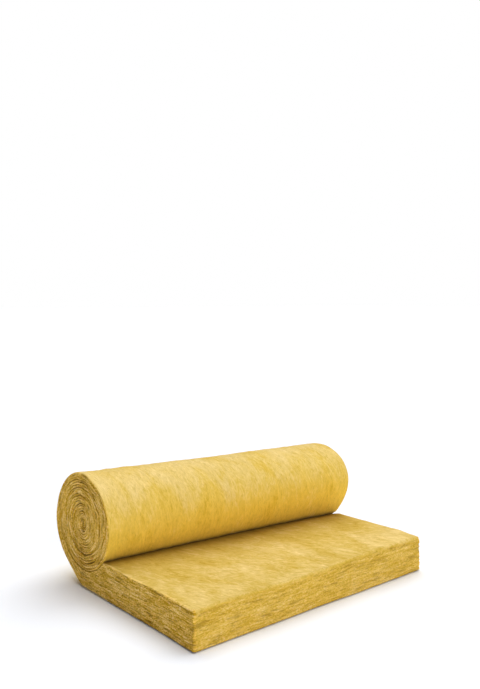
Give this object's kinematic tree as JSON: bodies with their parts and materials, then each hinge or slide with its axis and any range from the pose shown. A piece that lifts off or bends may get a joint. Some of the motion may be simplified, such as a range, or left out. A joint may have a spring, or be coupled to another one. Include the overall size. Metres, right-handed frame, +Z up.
{
  "type": "insulation roll",
  "caption": "Partly unrolled glass wool insulation blanket: a flat run that turns up at the back into a squeezed, wound roll with its turns showing at both ends.",
  "frame": {"origin": "centre of the overall box in plan, on the floor that the blanket lies on", "axes": "+X across the blanket's width, +Y back from the flat run towards the roll, +Z up"},
  "size_m": [1.2, 0.9999, 0.4501],
  "materials": {
    "glass_wool": "matt fibrous yellow glass wool, unfaced"
  },
  "bodies": {
    "root": {"wool_blanket": "glass_wool"}
  },
  "joints": []
}
